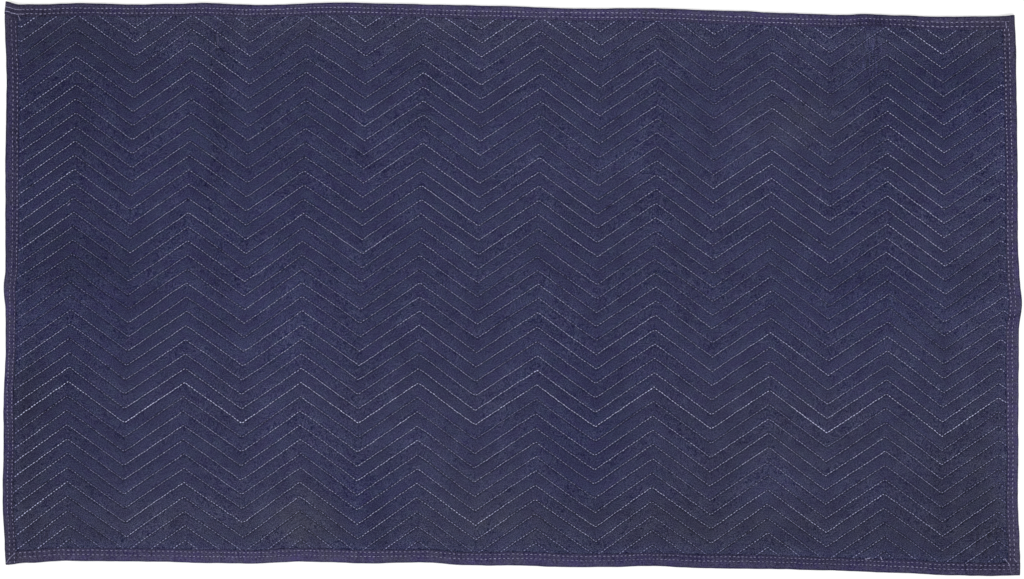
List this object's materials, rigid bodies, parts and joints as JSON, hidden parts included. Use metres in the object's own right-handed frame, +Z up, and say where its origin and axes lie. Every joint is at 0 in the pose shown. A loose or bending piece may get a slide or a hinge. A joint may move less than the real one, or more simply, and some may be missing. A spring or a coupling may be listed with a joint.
{
  "type": "moving blanket",
  "caption": "Flat rectangular furniture-moving pad: quilted cloth sewn through in close zigzag rows, its edges bound with folded woven tape that laps at the corners.",
  "frame": {"origin": "on the floor under the middle of the laid-out blanket's bounding box", "axes": "+X along the blanket's long side, +Y across it, +Z up from the floor through its thickness"},
  "size_m": [1.8334, 1.0333, 0.0078],
  "materials": {
    "quilted_cloth": "matt dark navy woven cloth, quilted over thin batting with pale grey-blue thread",
    "binding_tape": "matt dark purplish-navy woven tape with two rows of grey-blue stitches"
  },
  "bodies": {
    "root": {"quilted_panel": "quilted_cloth", "binding_top": "binding_tape", "binding_right": "binding_tape", "binding_bottom": "binding_tape", "binding_left": "binding_tape"}
  },
  "joints": []
}
